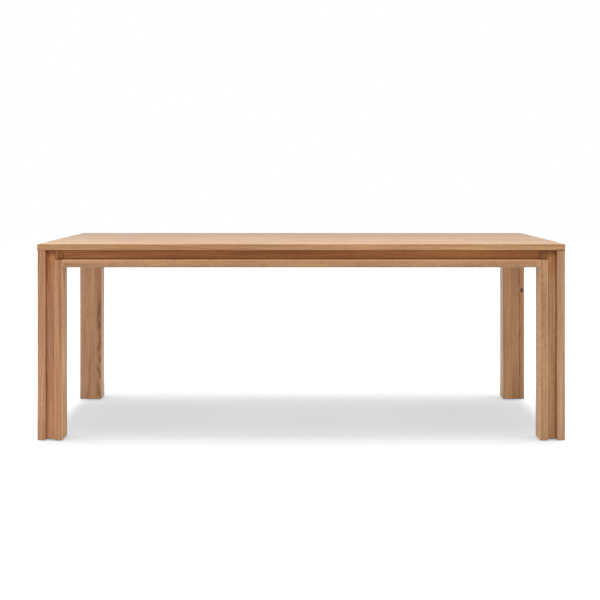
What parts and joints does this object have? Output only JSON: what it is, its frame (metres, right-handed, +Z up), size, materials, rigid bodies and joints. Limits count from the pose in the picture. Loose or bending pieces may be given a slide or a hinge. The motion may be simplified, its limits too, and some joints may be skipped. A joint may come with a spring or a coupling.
{
  "type": "dining table",
  "caption": "Rectangular oak dining table: thin top over square grooved legs, with a shadow channel between the top and a slim lower rail.",
  "frame": {"origin": "on the floor under the middle of the top", "axes": "+X along the length, +Y from the pictured front to the back, +Z up"},
  "size_m": [2, 1, 0.745],
  "materials": {
    "oak_top": "clear satin oil",
    "oak_legs": "clear satin oil",
    "oak_rails": "clear satin oil",
    "bearer_oak": "planed, unfinished",
    "zinc_steel": "bright zinc plate",
    "nylon": "moulded satin"
  },
  "bodies": {
    "root": {"bearer_left": "bearer_oak", "bearer_right": "bearer_oak", "bearer_screws": "zinc_steel", "corner_plate_front_left": "zinc_steel", "corner_plate_front_right": "zinc_steel", "corner_plate_rear_left": "zinc_steel", "corner_plate_rear_right": "zinc_steel", "corner_plate_screws": "zinc_steel", "front_apron": "oak_rails", "front_lower_rail": "oak_rails", "hanger_bolts": "zinc_steel", "hanger_nuts": "zinc_steel", "hanger_washers": "zinc_steel", "left_apron": "oak_rails", "left_lower_rail": "oak_rails", "leg_front_left_core": "oak_legs", "leg_front_left_inner_stile": "oak_legs", "leg_front_left_outer_stile": "oak_legs", "leg_front_right_core": "oak_legs", "leg_front_right_inner_stile": "oak_legs", "leg_front_right_outer_stile": "oak_legs", "leg_glides": "nylon", "leg_rear_left_core": "oak_legs", "leg_rear_left_inner_stile": "oak_legs", "leg_rear_left_outer_stile": "oak_legs", "leg_rear_right_core": "oak_legs", "leg_rear_right_inner_stile": "oak_legs", "leg_rear_right_outer_stile": "oak_legs", "rear_apron": "oak_rails", "rear_lower_rail": "oak_rails", "right_apron": "oak_rails", "right_lower_rail": "oak_rails", "top_board_1": "oak_top", "top_board_2": "oak_top", "top_board_3": "oak_top", "top_board_4": "oak_top", "top_board_5": "oak_top", "top_board_6": "oak_top", "top_board_7": "oak_top", "top_board_8": "oak_top", "top_board_9": "oak_top", "top_clip_screws": "zinc_steel", "top_clips": "zinc_steel"}
  },
  "joints": []
}
